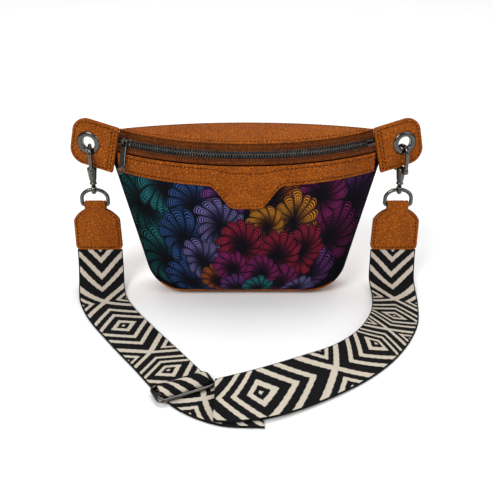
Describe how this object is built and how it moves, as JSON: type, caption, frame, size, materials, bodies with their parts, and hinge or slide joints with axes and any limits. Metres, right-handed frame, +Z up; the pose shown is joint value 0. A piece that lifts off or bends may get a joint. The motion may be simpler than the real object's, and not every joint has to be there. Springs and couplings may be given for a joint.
{
  "type": "waist pack",
  "caption": "Curved waist pack with a printed front, leather trim, zipped top and a patterned webbing strap that hooks into grommets in its end tabs.",
  "frame": {"origin": "middle of the flat base that the bag stands on", "axes": "+Z up, +X to the viewer's right as the bag is seen from the front, so the printed front faces -Y"},
  "size_m": [0.3772, 0.2737, 0.1917],
  "materials": {
    "leather": "pebbled, semi-matt",
    "facing_leather": "pebbled, semi-matt, darker",
    "printed_fabric": "printed weave",
    "lining_fabric": "plain weave",
    "zip_tape": "ribbed tape",
    "zip_teeth": "gunmetal, satin",
    "gunmetal": "polished gunmetal plating",
    "webbing": "black and ivory jacquard webbing"
  },
  "bodies": {
    "bag": {"front_panel": "printed_fabric", "front_band": "leather", "back_panel": "leather", "gusset": "leather", "top_panel": "leather", "front_lining": "lining_fabric", "back_lining": "lining_fabric", "lower_zip_facing": "facing_leather", "upper_zip_facing": "facing_leather", "lower_zip_tape": "zip_tape", "upper_zip_tape": "zip_tape", "lower_zip_teeth": "zip_teeth", "upper_zip_teeth": "zip_teeth", "left_tab_front": "leather", "left_tab_back": "leather", "left_grommet": "gunmetal", "left_grommet_washer": "gunmetal", "left_top_corner": "leather", "right_tab_front": "leather", "right_tab_back": "leather", "right_grommet": "gunmetal", "right_grommet_washer": "gunmetal", "right_top_corner": "leather"},
    "zip_slider": {"zip_slider": "gunmetal"},
    "zip_pull": {"zip_pull": "gunmetal"},
    "left_swivel": {"left_swivel_eye": "gunmetal"},
    "left_hook": {"left_hook": "gunmetal", "left_gate_pin": "gunmetal"},
    "left_gate": {"left_gate": "gunmetal"},
    "left_ring": {"left_d_ring": "gunmetal"},
    "right_swivel": {"right_swivel_eye": "gunmetal"},
    "right_hook": {"right_hook": "gunmetal", "right_gate_pin": "gunmetal"},
    "right_gate": {"right_gate": "gunmetal"},
    "right_ring": {"right_d_ring": "gunmetal"},
    "strap": {"left_strap_end": "leather", "right_strap_end": "leather", "left_webbing": "webbing", "right_webbing": "webbing"},
    "strap_slider": {"strap_slider": "gunmetal", "webbing_fold": "webbing"}
  },
  "joints": [
    {"name": "zip_travel", "type": "hinge", "parent": "bag", "child": "zip_slider", "pos_m": [0, 0.1996, 0.165], "axis": [0, 0, 1], "range_deg": [0, 63]},
    {"name": "pull_flip", "type": "hinge", "parent": "zip_slider", "child": "zip_pull", "pos_m": [-0.1256, 0.0062, 0.16861], "axis": [0.8855, -0.418, 0.2029], "range_deg": [-60, 0]},
    {"name": "left_hook_rock", "type": "hinge", "parent": "bag", "child": "left_swivel", "pos_m": [-0.163, 0.01, 0.16], "axis": [-1, 0, 0], "range_deg": [0, 4]},
    {"name": "left_hook_turn", "type": "hinge", "parent": "left_swivel", "child": "left_hook", "pos_m": [-0.163, 0.01, 0.13], "axis": [0, 0, 1], "range_deg": [-40, 0]},
    {"name": "left_gate_open", "type": "hinge", "parent": "left_hook", "child": "left_gate", "pos_m": [-0.16411, 0.01792, 0.136], "axis": [0.9903, 0.1392, 0], "range_deg": [0, 10], "stiffness_Nm_per_rad": 0.02, "springref_deg": -11.46},
    {"name": "left_ring_swing", "type": "hinge", "parent": "left_swivel", "child": "left_ring", "pos_m": [-0.163, 0.01, 0.1134], "axis": [-1, 0, 0], "range_deg": [0, 40]},
    {"name": "right_hook_rock", "type": "hinge", "parent": "bag", "child": "right_swivel", "pos_m": [0.163, 0.01, 0.16], "axis": [-1, 0, 0], "range_deg": [0, 4]},
    {"name": "right_hook_turn", "type": "hinge", "parent": "right_swivel", "child": "right_hook", "pos_m": [0.163, 0.01, 0.13], "axis": [0, 0, 1], "range_deg": [-30, 8]},
    {"name": "right_gate_open", "type": "hinge", "parent": "right_hook", "child": "right_gate", "pos_m": [0.15949, 0.01719, 0.136], "axis": [0.8988, 0.4384, 0], "range_deg": [0, 10], "stiffness_Nm_per_rad": 0.02, "springref_deg": -11.46},
    {"name": "right_ring_swing", "type": "hinge", "parent": "right_swivel", "child": "right_ring", "pos_m": [0.163, 0.01, 0.1134], "axis": [-1, 0, 0], "range_deg": [0, 40]},
    {"name": "strap_lift", "type": "hinge", "parent": "left_ring", "child": "strap", "pos_m": [-0.163, 0.01, 0.0958], "axis": [-1, 0, 0], "range_deg": [0, 50]},
    {"name": "strap_adjust", "type": "slide", "parent": "strap", "child": "strap_slider", "axis": [-0.5878, 0.809, 0], "range_m": [0, 0.06]}
  ],
  "couplings": [
    {"joint": "right_hook_rock", "follows": "left_hook_rock", "ratio": 1},
    {"joint": "right_ring_swing", "follows": "left_ring_swing", "ratio": 1}
  ]
}
